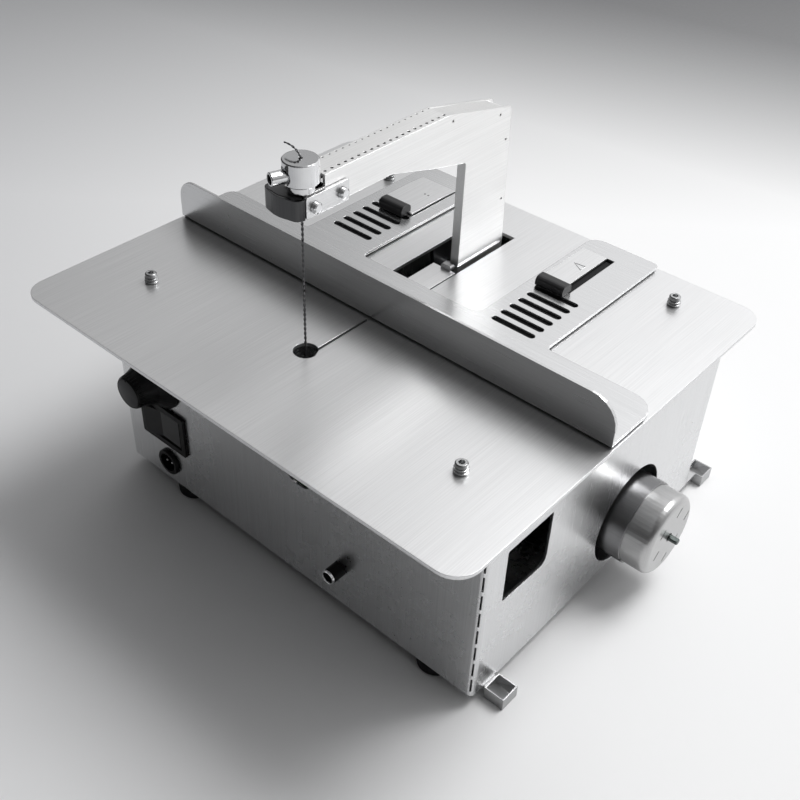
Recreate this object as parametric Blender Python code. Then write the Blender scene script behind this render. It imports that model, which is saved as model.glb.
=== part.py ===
"""Bench scroll saw: folded sheet housing, steel table with a sliding fence, and a rocking C-arm.

Sizes are millimetres in the table's own frame: X runs right from the table's left edge, Y runs back from
its front edge, and Z is measured from the table's top face. The root empty moves that frame to the middle
of the footprint, on the surface the saw stands on, and MM turns the sizes into metres.
"""
import math

import bmesh
import bpy
from mathutils import Matrix, Vector

MM = 0.001
GAP = 0.3
SHEET = 1.5

# Table
TABLE_WIDTH, TABLE_DEPTH, TABLE_THICK = 300.0, 259.0, 2.0
TABLE_CORNER = 13.0
TABLE_SCREWS = ((42.3, 53.4), (258.3, 51.8), (258.7, 233.8), (54.5, 232.0))
BLADE_X, BLADE_Y = 146.3, 67.0
BLADE_HOLE_RADIUS = 6.5
KERF_X, KERF_WIDTH, KERF_END = 150.0, 1.6, 109.0

# Housing
HOUSE_LEFT, HOUSE_RIGHT = 19.0, 285.5
HOUSE_FRONT, HOUSE_BACK = 40.5, 251.0
HOUSE_BOTTOM = -128.5
HOUSE_TOP = -TABLE_THICK - GAP
FLOOR = -136.5
CUP, CUP_WALL = 12.0, 0.8

# C-arm
ARM_LEFT, ARM_RIGHT = 138.0, 152.0
ARM_TOP = 95.5
PIVOT_Y, PIVOT_Z, PIVOT_RADIUS = 205.0, -22.0, 4.0
CHUCK_RADIUS, CHUCK_TOP = 8.6, 105.0
CLAMP_Z, CLAMP_TURN = 98.0, -18.1

# Drive
MOTOR_Y, MOTOR_Z, MOTOR_RADIUS = 173.5, -96.0, 24.0
MOTOR_END, CAN_CORNER = 312.5, 4.2
CRANK_THROW = 1.6
ROD_Y, ROD_TOP_Z = MOTOR_Y - CRANK_THROW, -58.0
DISC_FACE = 139.0

# Controls on the front wall
KNOB_X, KNOB_Z = 54.3, -52.0
SWITCH_X, SWITCH_Z, SWITCH_WIDE, SWITCH_HIGH = 55.5, -85.5, 38.0, 28.0
INLET_X, INLET_Z = 56.0, -113.9
FUSE_X, FUSE_Z = 195.3, -101.8

# Fence
FENCE_Y, FENCE_LOW, FENCE_TOP = 110.0, 1.2, 25.5
FLANGE_BACK = 149.5
TONGUE_END = 258.7
LEAF_ROOT = 244.0

# Frame: middle of the footprint, at floor level
SHAFT_TIP = 318.0
OUTRIGGER_BACK = 276.2
FRAME_ORIGIN = Vector((SHAFT_TIP / 2, OUTRIGGER_BACK / 2, FLOOR))

BODY_PIVOTS = {
    "root": Vector((0.0, 0.0, 0.0)),
    "arm": Vector((ARM_LEFT, PIVOT_Y, PIVOT_Z)),
    "rod": Vector((ARM_LEFT, ROD_Y, ROD_TOP_Z)),
    "crank": Vector((DISC_FACE, MOTOR_Y, MOTOR_Z)),
    "fence": Vector((TABLE_WIDTH / 2, FENCE_Y, 0.0)),
    "leaf_left": Vector((85.5, LEAF_ROOT, 3.2)),
    "leaf_right": Vector((200.0, LEAF_ROOT, 2.4)),
    "knob": Vector((KNOB_X, HOUSE_FRONT, KNOB_Z)),
    "rocker": Vector((SWITCH_X, 46.0, SWITCH_Z)),
}

FINISHES = {
    "brushed_steel": ((0.62, 0.63, 0.64, 1.0), 0.32, 1.0),
    "housing_steel": ((0.40, 0.41, 0.42, 1.0), 0.35, 1.0),
    "white_sheet": ((0.82, 0.82, 0.81, 1.0), 0.4, 0.1),
    "fence_steel": ((0.58, 0.59, 0.60, 1.0), 0.3, 0.9),
    "chrome": ((0.75, 0.76, 0.77, 1.0), 0.12, 1.0),
    "dark_steel": ((0.07, 0.07, 0.075, 1.0), 0.4, 0.8),
    "black_plastic": ((0.012, 0.012, 0.013, 1.0), 0.45, 0.0),
    "rubber": ((0.02, 0.02, 0.02, 1.0), 0.75, 0.0),
    "motor_zinc": ((0.55, 0.55, 0.56, 1.0), 0.35, 0.9),
    "board": ((0.02, 0.12, 0.06, 1.0), 0.5, 0.0),
}


# ---------------------------------------------------------------- outlines

def rect(u0, v0, u1, v1):
    """Corners of an upright rectangle."""
    return [(u0, v0), (u1, v0), (u1, v1), (u0, v1)]


def circle(u, v, radius, count=24):
    """Points of a circle."""
    turn = 2 * math.pi / count
    return [(u + radius * math.cos(i * turn), v + radius * math.sin(i * turn)) for i in range(count)]


def fillet(points, steps=4):
    """Outline through (u, v, radius) points, each corner rounded by its own radius."""
    outline = []
    count = len(points)
    for i, (u, v, radius) in enumerate(points):
        corner = Vector((u, v))
        if radius == 0:
            outline.append((u, v))
            continue
        before = (Vector(points[i - 1][:2]) - corner).normalized()
        after = (Vector(points[(i + 1) % count][:2]) - corner).normalized()
        half = before.angle(after) / 2
        centre = corner + (before + after).normalized() * (radius / math.sin(half))
        start = corner + before * (radius / math.tan(half)) - centre
        sweep = start.angle_signed(corner + after * (radius / math.tan(half)) - centre)
        for k in range(steps + 1):
            spot = centre + start @ Matrix.Rotation(sweep * k / steps, 2)
            outline.append((spot.x, spot.y))
    return outline


def rounded_rect(u0, v0, u1, v1, radius, steps=4):
    """Rectangle with four equal round corners."""
    return fillet([(u0, v0, radius), (u1, v0, radius), (u1, v1, radius), (u0, v1, radius)], steps)


def slot(u0, v0, u1, v1):
    """Slot with fully round ends, lying along its longer side."""
    return rounded_rect(u0, v0, u1, v1, min(u1 - u0, v1 - v0) / 2 - 0.01, 3)


def ribbon(points, thick):
    """Closed outline of a strip whose left side follows an open path and whose right side is inset by thick."""
    path = [Vector(point) for point in points]
    inner = []
    for i, point in enumerate(path):
        ahead = (path[min(i + 1, len(path) - 1)] - path[max(i, 1) - 1 if i == len(path) - 1 else i]).normalized()
        behind = (point - path[i - 1]).normalized() if i else ahead
        normal = Vector((ahead.y + behind.y, -ahead.x - behind.x)).normalized()
        spread = normal.dot(Vector((ahead.y, -ahead.x)))
        inner.append(point + normal * thick / spread)
    return [tuple(point) for point in path] + [tuple(point) for point in reversed(inner)]


# ---------------------------------------------------------------- solids

def lift(axis, point, level):
    """Place a flat point (u, v) at a level along the axis."""
    u, v = point
    spot = {"X": (level, u, v), "Y": (u, level, v), "Z": (u, v, level)}[axis]
    return Vector(spot) * MM


def prism(axis, low, high, *loops):
    """Straight solid between two levels of the axis; the first loop is the outside, the others are holes."""
    bm = bmesh.new()
    rims = {low: [], high: []}
    for loop in loops:
        rings = {level: [bm.verts.new(lift(axis, point, level)) for point in loop] for level in (low, high)}
        count = len(loop)
        for level, ring in rings.items():
            rims[level] += [bm.edges.new((ring[i], ring[(i + 1) % count])) for i in range(count)]
        for i in range(count):
            j = (i + 1) % count
            bm.faces.new((rings[low][i], rings[low][j], rings[high][j], rings[high][i]))
    for level in (low, high):
        bmesh.ops.triangle_fill(bm, use_beauty=True, edges=rims[level])
    bmesh.ops.recalc_face_normals(bm, faces=bm.faces)
    return bm


def box(x0, y0, z0, x1, y1, z1):
    """Plain block between two corners."""
    return prism("Z", z0, z1, rect(x0, y0, x1, y1))


def hull(points):
    """Convex solid round a few points in millimetres."""
    bm = bmesh.new()
    for point in points:
        bm.verts.new(Vector(point) * MM)
    bmesh.ops.convex_hull(bm, input=bm.verts)
    bmesh.ops.recalc_face_normals(bm, faces=bm.faces)
    return bm


def turned(axis, centre, profile, count=32, ring=False):
    """Solid of revolution from (level, radius) points; a ring profile closes on itself."""
    bm = bmesh.new()
    turn = 2 * math.pi / count
    rows = []
    for level, radius in profile:
        if radius == 0:
            rows.append([bm.verts.new(lift(axis, centre, level))])
            continue
        spots = [(centre[0] + radius * math.cos(i * turn), centre[1] + radius * math.sin(i * turn))
                 for i in range(count)]
        rows.append([bm.verts.new(lift(axis, spot, level)) for spot in spots])
    pairs = list(zip(rows, rows[1:] + rows[:1])) if ring else list(zip(rows, rows[1:]))
    for first, second in pairs:
        for i in range(count):
            j = (i + 1) % count
            corners = [first[i % len(first)], first[j % len(first)], second[j % len(second)],
                       second[i % len(second)]]
            bm.faces.new(list(dict.fromkeys(corners)))
    bmesh.ops.recalc_face_normals(bm, faces=bm.faces)
    return bm


def twisted_wire(path, half, twist):
    """Square wire swept along a path of points, turning by twist radians for each millimetre."""
    bm = bmesh.new()
    rings = []
    travelled = 0.0
    side = Vector((0.0, 1.0, 0.0))
    for i, point in enumerate(path):
        along = (path[min(i + 1, len(path) - 1)] - path[max(i - 1, 0)]).normalized()
        across = side.cross(along).normalized()
        travelled += (point - path[i - 1]).length if i else 0.0
        frame = Matrix.Rotation(travelled * twist, 3, along)
        corners = [frame @ (across * a + along.cross(across) * b) * half
                   for a, b in ((1, 1), (-1, 1), (-1, -1), (1, -1))]
        rings.append([bm.verts.new((point + corner) * MM) for corner in corners])
    for first, second in zip(rings, rings[1:]):
        for i in range(4):
            bm.faces.new((first[i], first[(i + 1) % 4], second[(i + 1) % 4], second[i]))
    bm.faces.new(rings[0])
    bm.faces.new(rings[-1])
    bmesh.ops.recalc_face_normals(bm, faces=bm.faces)
    return bm


def rotated(bm, centre, axis, degrees):
    """Turn a solid about an axis through a centre point."""
    bmesh.ops.rotate(bm, verts=bm.verts, cent=Vector(centre) * MM,
                     matrix=Matrix.Rotation(math.radians(degrees), 3, axis))
    return bm


def merged(solids):
    """One mesh holding several separate solids, for a cutter."""
    whole = bmesh.new()
    for bm in solids:
        mesh = bpy.data.meshes.new("piece")
        bm.to_mesh(mesh)
        bm.free()
        whole.from_mesh(mesh)
        bpy.data.meshes.remove(mesh)
    return whole


# ---------------------------------------------------------------- scene objects

def material(finish):
    """Principled material of a finish, made once."""
    if finish in bpy.data.materials:
        return bpy.data.materials[finish]
    colour, roughness, metallic = FINISHES[finish]
    made = bpy.data.materials.new(finish)
    made.use_nodes = True
    shader = made.node_tree.nodes["Principled BSDF"]
    shader.inputs["Base Color"].default_value = colour
    shader.inputs["Roughness"].default_value = roughness
    shader.inputs["Metallic"].default_value = metallic
    return made


def bodies():
    """Empties on the joint axes, all under the root empty."""
    empties = {}
    for name, pivot in BODY_PIVOTS.items():
        empty = bpy.data.objects.new("axis_" + name, None)
        bpy.context.collection.objects.link(empty)
        empty.location = pivot * MM if name != "root" else -FRAME_ORIGIN * MM
        if name != "root":
            empty.parent = empties["root"]
        empties[name] = empty
    return empties


def mesh_object(name, bm):
    """Object from a bmesh, shaded smooth over its round parts."""
    mesh = bpy.data.meshes.new(name)
    bm.to_mesh(mesh)
    bm.free()
    mesh.shade_smooth()
    mesh.set_sharp_from_angle(angle=math.radians(35))
    made = bpy.data.objects.new(name, mesh)
    bpy.context.collection.objects.link(made)
    return made


def helper(name, solids, body):
    """Hidden object for a Boolean."""
    made = mesh_object(name, merged(solids))
    made.hide_render = True
    made.display_type = "WIRE"
    made.parent = AXES[body]
    made.location = -BODY_PIVOTS[body] * MM
    return made


def piece(name, bm, body, finish, add=(), cut=()):
    """One named piece on a body, with optional solids joined to it and cut from it."""
    made = mesh_object(name, bm)
    made.data.materials.append(material(finish))
    made.parent = AXES[body]
    made.location = -BODY_PIVOTS[body] * MM
    for operation, solids in (("UNION", add), ("DIFFERENCE", cut)):
        for number, solid in enumerate(solids if operation == "UNION" else ([solids] if solids else [])):
            group = [solid] if operation == "UNION" else list(solid)
            modifier = made.modifiers.new(operation.title(), "BOOLEAN")
            modifier.operation = operation
            modifier.use_self = len(group) > 1
            modifier.object = helper(f"{name}_{operation.lower()}_{number}", group, body)
    return made


# ---------------------------------------------------------------- sub-assemblies

def make_table():
    """Table plate, its screws and the two rails it is screwed to."""
    slot_front, slot_back, slot_step = 151.0, 229.0, 175.0
    arm_slot = [(128.0, slot_front), (139.0, slot_front), (139.0, slot_step), (154.6, slot_step),
                (154.6, slot_front), (155.6, slot_front), (155.6, slot_back), (128.0, slot_back)]
    blade_hole = circle(BLADE_X, BLADE_Y, BLADE_HOLE_RADIUS)
    half = KERF_WIDTH / 2
    kerf_left, kerf_right = KERF_X - half, KERF_X + half
    keyhole = [point for point in blade_hole if not (point[0] > kerf_left - 0.3 and point[1] > BLADE_Y)]
    split = next(i for i, point in enumerate(keyhole) if point[0] < kerf_left and point[1] > BLADE_Y)
    rise = [math.sqrt(BLADE_HOLE_RADIUS ** 2 - (x - BLADE_X) ** 2) + BLADE_Y for x in (kerf_right, kerf_left)]
    kerf = [(kerf_right, rise[0]), (kerf_right, KERF_END), (kerf_left, KERF_END), (kerf_left, rise[1])]
    keyhole[split:split] = kerf
    holes = [circle(x, y, 2.3, 12) for x, y in TABLE_SCREWS]
    outline = rounded_rect(0, 0, TABLE_WIDTH, TABLE_DEPTH, TABLE_CORNER, 8)
    piece("table_top", prism("Z", -TABLE_THICK, 0, outline, keyhole, arm_slot, *holes), "root", "brushed_steel")
    screw = [(-9.0, 0), (-9.0, 2.0), (GAP, 2.0), (GAP, 3.6), (1.2, 3.7), (1.5, 3.0), (1.8, 3.0), (2.1, 3.5),
             (2.8, 3.5), (3.1, 2.7), (3.4, 2.7), (3.6, 3.2), (5.1, 3.1), (5.6, 2.6), (5.6, 1.5), (3.6, 1.5), (3.6, 0)]
    for number, centre in enumerate(TABLE_SCREWS, 1):
        piece(f"table_screw_{number}", turned("Z", centre, screw, 24), "root", "dark_steel")
    left, right = HOUSE_LEFT + SHEET + GAP, HOUSE_RIGHT - SHEET - GAP
    top = HOUSE_TOP - GAP
    ribs = {"rail_left": ([(left, top - 18), (left, top), (66.0, top)], (0, 3)),
            "rail_right": ([(246.0, top), (right, top), (right, top - 18)], (1, 2))}
    for name, (path, screws) in ribs.items():
        cutter = [turned("Z", TABLE_SCREWS[i], [(top - 4, 0), (top - 4, 2.3), (top + 1, 2.3), (top + 1, 0)], 12)
                  for i in screws]
        piece(name, prism("Y", 44.0, 247.0, ribbon(path, SHEET)), "root", "housing_steel", cut=cutter)


def make_housing():
    """Folded wrap with its cut-outs, rear panel, base plate, rubber feet and outriggers."""
    inner = SHEET
    bend = 3.0
    wrap_path = fillet([(HOUSE_LEFT, HOUSE_BACK, 0), (HOUSE_LEFT, HOUSE_FRONT, bend),
                        (HOUSE_RIGHT, HOUSE_FRONT, bend), (HOUSE_RIGHT, HOUSE_BACK, 0)], 3)
    inside = fillet([(HOUSE_LEFT + inner, HOUSE_BACK, 0), (HOUSE_LEFT + inner, HOUSE_FRONT + inner, bend - inner),
                     (HOUSE_RIGHT - inner, HOUSE_FRONT + inner, bend - inner),
                     (HOUSE_RIGHT - inner, HOUSE_BACK, 0)], 3)
    wall_y = (HOUSE_FRONT - 3, HOUSE_FRONT + 3)
    wall_x = (HOUSE_RIGHT - 3, HOUSE_RIGHT + 3)
    window = fillet([(56.5, -35.5, 1), (92.0, -35.5, 1), (92.0, -71.0, 6), (56.5, -69.5, 1.5)])
    cuts = [
        prism("X", *wall_x, window),
        prism("X", *wall_x, circle(174.0, -96.6, 30.5, 48)),
        prism("Y", *wall_y, circle(KNOB_X, KNOB_Z, 3.6, 16)),
        prism("Y", *wall_y, rect(SWITCH_X - 17, SWITCH_Z - 12, SWITCH_X + 17, SWITCH_Z + 12)),
        prism("Y", *wall_y, circle(INLET_X, INLET_Z, 6.9)),
        prism("Y", *wall_y, circle(FUSE_X, FUSE_Z, 3.4, 16)),
        prism("Y", *wall_y, rounded_rect(157.5, -61.5, 174.5, -28.0, 6)),
    ]
    dash, pitch = 9.6, 12.4
    for number in range(10):
        top = HOUSE_TOP - 1.5 - number * pitch
        cuts.append(rotated(box(HOUSE_RIGHT - 3.2, HOUSE_FRONT - 0.5, top - dash, HOUSE_RIGHT + 1.2,
                                HOUSE_FRONT + 0.5, top), (HOUSE_RIGHT - 1, HOUSE_FRONT, 0), "Z", -45))
    wrap = prism("Z", HOUSE_BOTTOM, HOUSE_TOP, wrap_path + inside[::-1])
    piece("housing_wrap", wrap, "root", "housing_steel", cut=cuts)
    left, right = HOUSE_LEFT + SHEET + GAP, HOUSE_RIGHT - SHEET - GAP
    rear = prism("Y", HOUSE_BACK - 2.0, HOUSE_BACK - 0.5, rounded_rect(left, HOUSE_BOTTOM, right, HOUSE_TOP, 1))
    piece("rear_panel", rear, "root", "housing_steel")
    base = prism("Z", HOUSE_BOTTOM + 0.2, HOUSE_BOTTOM + 1.7,
                 rounded_rect(left, HOUSE_FRONT + SHEET + GAP, right, HOUSE_BACK - 2.3, 2))
    piece("base_plate", base, "root", "housing_steel")
    foot = [(FLOOR, 0), (FLOOR, 9.4), (FLOOR + 1.2, 10.3), (HOUSE_BOTTOM - 1.0, 10.6),
            (HOUSE_BOTTOM - GAP, 10.0), (HOUSE_BOTTOM - GAP, 0)]
    for number, centre in enumerate(((65.5, 50.2), (254.5, 50.8), (240.0, 238.0), (65.5, 238.0)), 1):
        piece(f"foot_{number}", turned("Z", centre, foot, 24), "root", "rubber")
    top = HOUSE_BOTTOM - GAP
    corners = {"front": (286.2, 50.2), "rear": (277.8, OUTRIGGER_BACK - CUP)}
    tongues = {"front": box(268.0, 51.0, top - 2.2, 286.7, 60.0, top - 0.2),
               "rear": box(279.0, 238.0, top - 2.2, 284.9, OUTRIGGER_BACK - CUP + 0.5, top - 0.2)}
    for side, (x, y) in corners.items():
        right, back = x + CUP, y + CUP
        cup = box(x, y, FLOOR, right, back, top)
        trough = hull([(x + CUP_WALL, y + 0.4, top + 0.01), (right - CUP_WALL, y + 0.4, top + 0.01),
                       (x + CUP_WALL, back - CUP_WALL, top + 0.01), (right - CUP_WALL, back - CUP_WALL, top + 0.01),
                       (x + CUP_WALL, back - 2.4, top - 5.0), (right - CUP_WALL, back - 4.4, top - 3.2)])
        piece(f"outrigger_{side}", cup, "root", "dark_steel", add=[tongues[side]], cut=[trough])


def arm_outline(throat):
    """Side outline of an arm cheek in (Y, Z); throat is the front edge of its column."""
    return fillet([(64.0, 79.0, 2), (64.0, 89.5, 1), (76.4, 89.5, 0), (76.4, ARM_TOP, 0), (164.6, ARM_TOP, 12),
                   (217.0, 84.0, 1.5), (221.0, 2.0, 0), (221.0, -36.0, 12), (196.0, -74.0, 12),
                   (58.0, -66.0, 4), (58.0, -54.0, 4), (172.0, -50.0, 8), (throat, -40.0, 8),
                   (throat, 64.0, 1.5), (152.0, 70.7, 0), (122.5, 78.9, 4)], 3)


def make_arm():
    """Rocking C-arm: folded shell, back strip, hub, head bracket, chucks and blade."""
    pin_hole = circle(ROD_Y, ROD_TOP_Z, 2.8, 16)
    shaft_hole = circle(PIVOT_Y, PIVOT_Z, PIVOT_RADIUS + GAP, 24)
    pricks = [circle(y, z, 0.8, 8) for y, z in ((167.3, 91.5), (207.5, 82.0), (214.5, 65.9), (216.0, 29.7))]
    screw_holes = [circle(y, z, 2.3, 12) for y, z in ((68.1, 83.3), (85.6, 83.9))]
    right = prism("X", ARM_RIGHT - SHEET, ARM_RIGHT, arm_outline(180.5), pin_hole, shaft_hole, *pricks, *screw_holes)
    left = prism("X", ARM_LEFT, ARM_LEFT + SHEET, arm_outline(192.5), pin_hole, shaft_hole)
    ridge = [(76.4, ARM_TOP), (163.4, ARM_TOP), (189.0, 90.15), (210.0, 85.4)]
    ceiling = prism("X", ARM_LEFT + 0.2, ARM_RIGHT - 0.2, ribbon(ridge, SHEET))
    lip = box(146.5, 180.5, -30.0, ARM_RIGHT - 0.2, 182.0, 63.4)
    dots = []
    for number in range(20):
        y = 79.0 + number * 4.4
        for x, radius in ((ARM_LEFT + 1.2, 0.55), (ARM_RIGHT - 2.6, 0.85)):
            dots.append(turned("Z", (x, y), [(ARM_TOP - 3, 0), (ARM_TOP - 3, radius), (ARM_TOP + 1, radius),
                                             (ARM_TOP + 1, 0)], 8))
    piece("arm_shell", right, "arm", "white_sheet", add=[left, ceiling, lip], cut=dots)
    back_path = [(215.4, 83.0), (219.4, 2.0), (219.4, -30.0)]
    inner_left, inner_right = ARM_LEFT + SHEET + GAP, ARM_RIGHT - SHEET - GAP
    piece("arm_back_strip", prism("X", inner_left, inner_right, ribbon(back_path[::-1], -SHEET)[::-1]), "arm",
          "white_sheet")
    sleeve = [(inner_left, PIVOT_RADIUS + GAP), (inner_right, PIVOT_RADIUS + GAP), (inner_right, 7.5),
              (inner_left, 7.5)]
    piece("arm_hub", turned("X", (PIVOT_Y, PIVOT_Z), sleeve, 24, True), "arm", "brushed_steel")

    bore = circle(BLADE_X, BLADE_Y, 1.1, 12)
    plate_x = ARM_RIGHT + GAP
    screw_spots = ((68.1, 83.3), (85.6, 83.9))
    plate_holes = [circle(y, z, 2.3, 12) for y, z in screw_spots]
    plate = prism("X", plate_x, plate_x + SHEET, rounded_rect(62.8, 78.8, 90.2, 89.2, 0.6, 2), *plate_holes)
    piece("head_plate", plate, "arm", "chrome")
    nose = fillet([(130.0, 79.6, 1), (130.0, 58.6, 3.5), (141.0, 55.8, 16), (152.4, 58.4, 4), (153.4, 62.5, 0.4),
                   (150.2, 63.0, 0), (150.2, 79.6, 0), (139.8, 79.6, 0), (139.8, 63.5, 0), (137.7, 63.5, 0),
                   (137.7, 79.6, 0)], 4)
    tapped = [turned("X", spot, [(146.0, 0), (146.0, 2.3), (155.0, 2.3), (155.0, 0)], 12) for spot in screw_spots[:1]]
    piece("head_block", prism("Z", 78.4, 88.6, nose, bore), "arm", "chrome", cut=tapped)
    for number, (y, z) in enumerate(screw_spots, 1):
        head = plate_x + SHEET + GAP
        profile = [(147.4, 0), (147.4, 2.0), (head, 2.0), (head, 2.9), (head + 1.7, 2.7), (head + 2.2, 1.9),
                   (head + 2.2, 0)]
        piece(f"head_screw_{number}", turned("X", (y, z), profile, 20), "arm", "chrome")

    drum = [(89.8, 0), (89.8, 6.4), (93.6, 6.4), (93.6, 8.0), (94.2, CHUCK_RADIUS), (104.5, CHUCK_RADIUS),
            (CHUCK_TOP, 8.1), (CHUCK_TOP, 0)]
    clamp = {"spot": [(-12.0, 0), (-12.0, 4.5), (-7.0, 4.5), (-7.0, 0)],
             "thread": [(-8.0, 0), (-8.0, 3.5), (-0.6, 3.5), (-0.6, 0)],
             "tube": [(-12.5, 0), (-12.5, 2.4), (-15.3, 2.4), (-15.3, 2.9), (-15.0, 3.2), (-1.2, 3.2), (-1.2, 0)]}
    solids = {name: rotated(turned("Y", (BLADE_X, CLAMP_Z), [(BLADE_Y + y, r) for y, r in profile], 24),
                            (BLADE_X, BLADE_Y, 0), "Z", CLAMP_TURN) for name, profile in clamp.items()}
    piece("upper_chuck", turned("Z", (BLADE_X, BLADE_Y), drum, 48), "arm", "chrome",
          cut=[prism("Z", 88.0, 106.0, bore), solids["spot"], solids["thread"]])
    piece("upper_clamp_screw", solids["tube"], "arm", "chrome")

    lower_block = prism("Z", -65.0, -55.5, rounded_rect(inner_left, 61.0, inner_right, 77.0, 1.5), bore)
    piece("lower_block", lower_block, "arm", "dark_steel")
    lower_drum = turned("Z", (BLADE_X - 1.3, BLADE_Y + 2.0), [(-81.0, 0), (-81.0, 7.5), (-80.4, 8.0), (-67.6, 8.0),
                                                              (-67.0, 7.5), (-67.0, 0)], 32)
    lower_thread = turned("Y", (BLADE_X, -74.0), [(BLADE_Y - 10, 0), (BLADE_Y - 10, 2.9), (BLADE_Y - 0.6, 2.9),
                                                  (BLADE_Y - 0.6, 0)], 16)
    piece("lower_chuck", lower_drum, "arm", "chrome", cut=[prism("Z", -83.0, -65.5, bore), lower_thread])
    lower_screw = [(BLADE_Y - 12.5, 0), (BLADE_Y - 12.5, 2.6), (BLADE_Y - 1.2, 2.6), (BLADE_Y - 1.2, 0)]
    piece("lower_clamp_screw", turned("Y", (BLADE_X, -74.0), lower_screw, 16), "arm", "dark_steel")

    straight = [Vector((BLADE_X, BLADE_Y, -84.0 + 3.0 * k)) for k in range(64)]
    bend_centre, bend_radius = Vector((BLADE_X - 8.0, BLADE_Y, CHUCK_TOP)), 8.0
    tail = [bend_centre + Vector((bend_radius * math.cos(a), 0.0, 0.55 * bend_radius * math.sin(a)))
            for a in (math.radians(15 * k) for k in range(1, 8))]
    piece("blade", twisted_wire(straight + tail, 0.42, 0.55), "arm", "dark_steel")


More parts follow.
